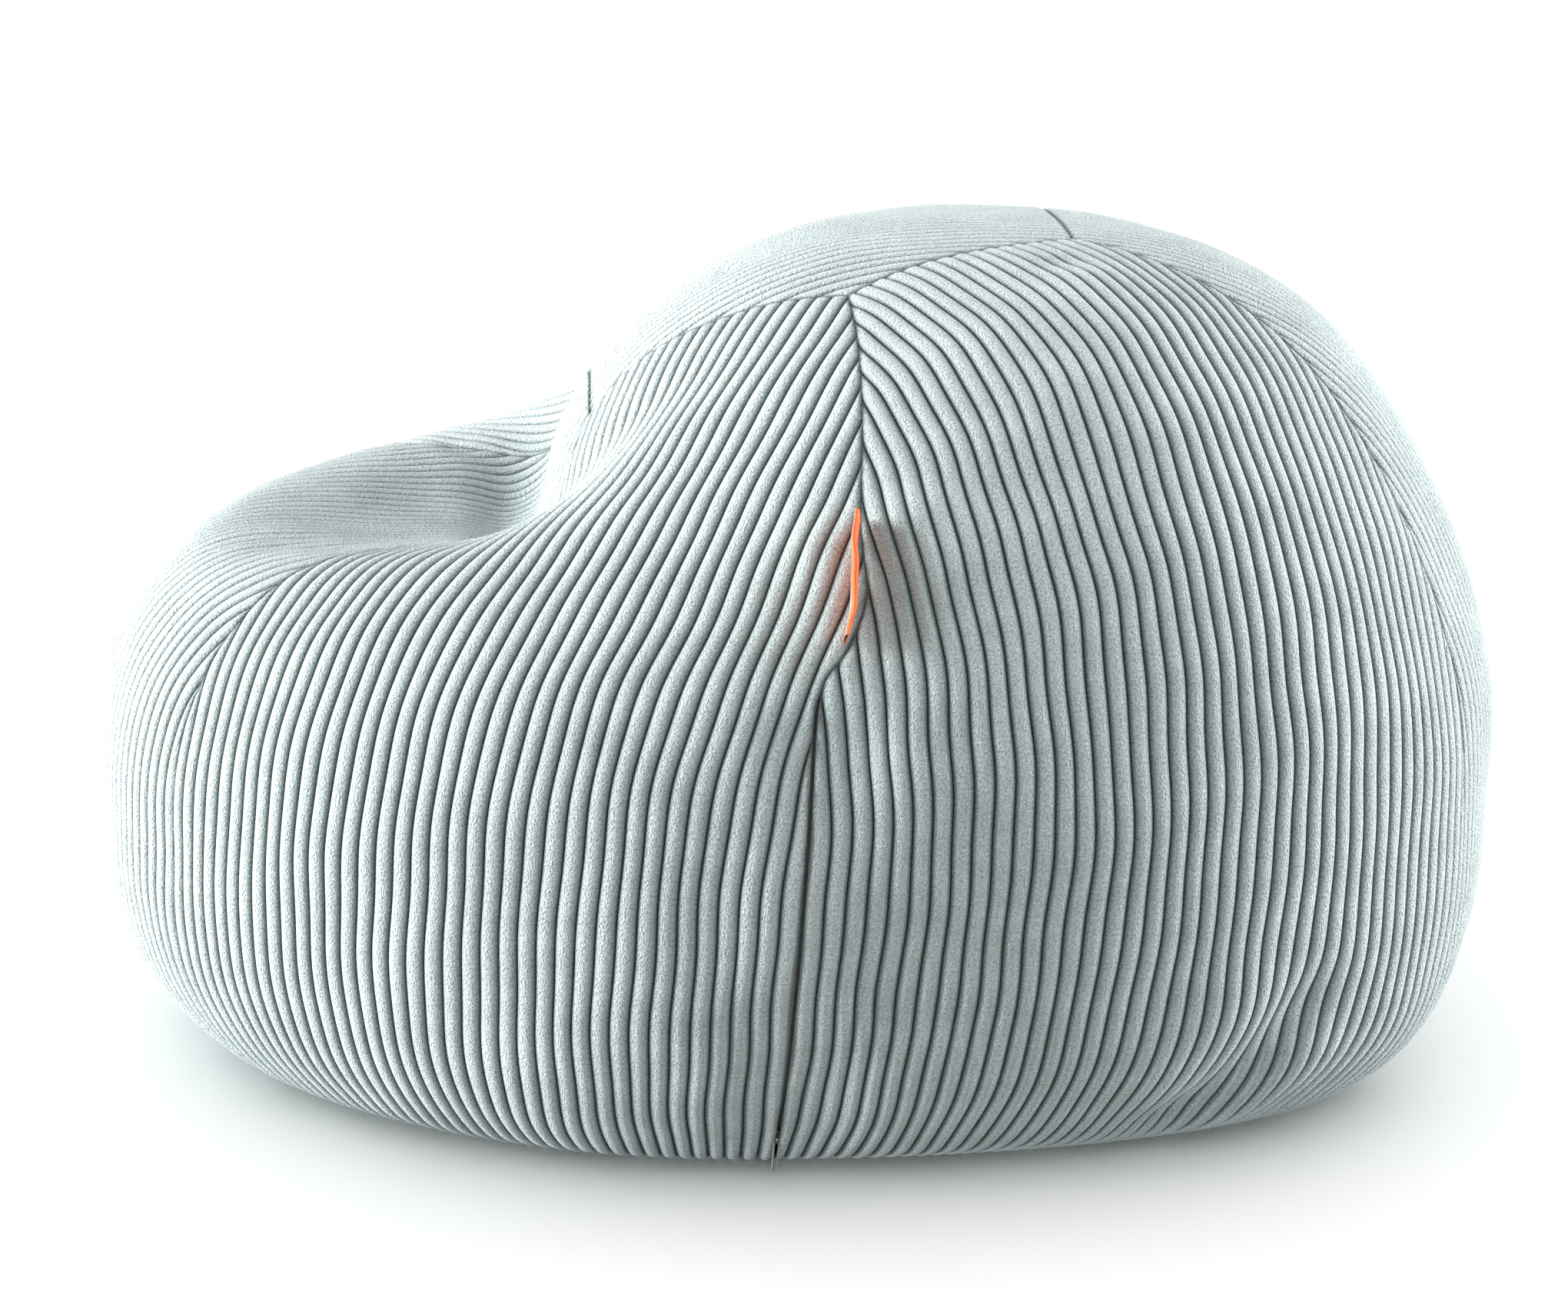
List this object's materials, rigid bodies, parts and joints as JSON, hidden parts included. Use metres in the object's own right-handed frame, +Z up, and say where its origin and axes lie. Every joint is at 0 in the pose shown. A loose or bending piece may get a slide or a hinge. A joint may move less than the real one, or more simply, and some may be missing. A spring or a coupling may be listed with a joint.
{
  "type": "bean bag chair",
  "caption": "Free-standing sat-in bean bag chair: six corduroy gores with a hexagonal top panel, side zip, folded side label, inner liner and bead filling.",
  "frame": {"origin": "on the floor under the middle of the bag's bounding box", "axes": "+Z up, front of the seat towards -Y, +X is the right side as seen from the front, where the side zip and label are"},
  "size_m": [0.9131, 1.0364, 0.608],
  "materials": {
    "corduroy": "matte",
    "liner_cloth": "matte",
    "zip_tape": "matte",
    "zip_coil": "matte",
    "zip_metal": "satin",
    "label_ribbon": "matte",
    "eps_beads": "matte"
  },
  "bodies": {
    "bag": {"front_gore": "corduroy", "front_right_gore": "corduroy", "rear_right_gore": "corduroy", "rear_gore": "corduroy", "rear_left_gore": "corduroy", "front_left_gore": "corduroy", "top_panel": "corduroy", "base_panel": "corduroy", "zip_tape_front": "zip_tape", "zip_tape_rear": "zip_tape", "zip_coil_front": "zip_coil", "zip_coil_rear": "zip_coil", "zip_bottom_stop": "zip_metal", "zip_top_stops": "zip_metal", "liner_front": "liner_cloth", "liner_rear": "liner_cloth", "liner_zip_tape_front": "liner_cloth", "liner_zip_tape_rear": "liner_cloth", "liner_zip_coils": "zip_coil", "bead_filling": "eps_beads"},
    "slider": {"zip_slider": "zip_metal"},
    "pull": {"zip_pull": "zip_metal"},
    "label": {"side_label": "label_ribbon"},
    "liner_slider": {"liner_zip_slider": "zip_metal"}
  },
  "joints": [
    {"name": "zip_travel", "type": "hinge", "parent": "bag", "child": "slider", "pos_m": [0.185, -0.01007, 0.20237], "axis": [0, -0.9969, 0.0785], "range_deg": [0, 62]},
    {"name": "pull_swing", "type": "hinge", "parent": "slider", "child": "pull", "pos_m": [0.39483, -0.0234, 0.03298], "axis": [0, -0.9969, 0.0785], "range_deg": [-39, 111]},
    {"name": "label_flap", "type": "hinge", "parent": "bag", "child": "label", "pos_m": [0.39536, 0.02097, 0.40653], "axis": [-0.5182, 0.2227, 0.8258], "range_deg": [-55, 55], "stiffness_Nm_per_rad": 0.002},
    {"name": "liner_zip_travel", "type": "hinge", "parent": "bag", "child": "liner_slider", "pos_m": [-0.185, -0.01007, 0.20237], "axis": [0, 0.9969, -0.0785], "range_deg": [0, 38]}
  ]
}
